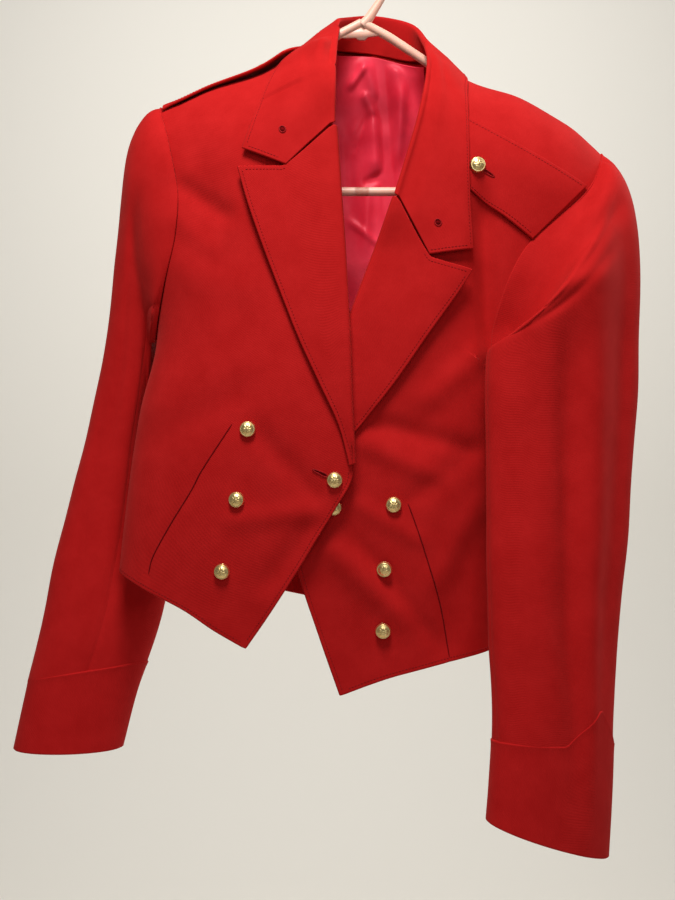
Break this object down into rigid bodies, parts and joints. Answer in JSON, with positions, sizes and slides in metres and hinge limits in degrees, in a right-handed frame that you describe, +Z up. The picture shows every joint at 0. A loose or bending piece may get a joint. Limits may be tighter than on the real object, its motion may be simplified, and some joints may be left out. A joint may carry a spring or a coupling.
{
  "type": "mess jacket on a hanger",
  "caption": "Waist-length formal mess jacket with peaked lapels, turned-down collar, shoulder straps and domed buttons, hung open on a tubular hanger.",
  "frame": {"origin": "inside top of the hanger hook, where it sits on the rail", "axes": "+Z up; +X to the wearer's left, to the right in front view; +Y to the back of the jacket"},
  "size_m": [0.6037, 0.1853, 0.8601],
  "materials": {
    "scarlet_wool": "fine twill, matt",
    "satin_lining": "satin",
    "gilt": "polished gilt",
    "pink_plastic": "satin"
  },
  "bodies": {
    "root": {"front_right": "scarlet_wool", "side_right": "scarlet_wool", "back_right": "scarlet_wool", "top_sleeve_right": "scarlet_wool", "under_sleeve_right": "scarlet_wool", "cuff_right": "scarlet_wool", "lapel_right": "scarlet_wool", "shoulder_strap_right": "scarlet_wool", "button_right_1": "gilt", "button_right_2": "gilt", "button_right_3": "gilt", "strap_button_right": "gilt", "front_left": "scarlet_wool", "side_left": "scarlet_wool", "back_left": "scarlet_wool", "top_sleeve_left": "scarlet_wool", "under_sleeve_left": "scarlet_wool", "cuff_left": "scarlet_wool", "lapel_left": "scarlet_wool", "shoulder_strap_left": "scarlet_wool", "button_left_1": "gilt", "button_left_2": "gilt", "button_left_3": "gilt", "strap_button_left": "gilt", "collar": "scarlet_wool", "lining_back": "satin_lining", "link_button_outer": "gilt", "link_button_inner": "gilt", "hanger": "pink_plastic"}
  },
  "joints": []
}
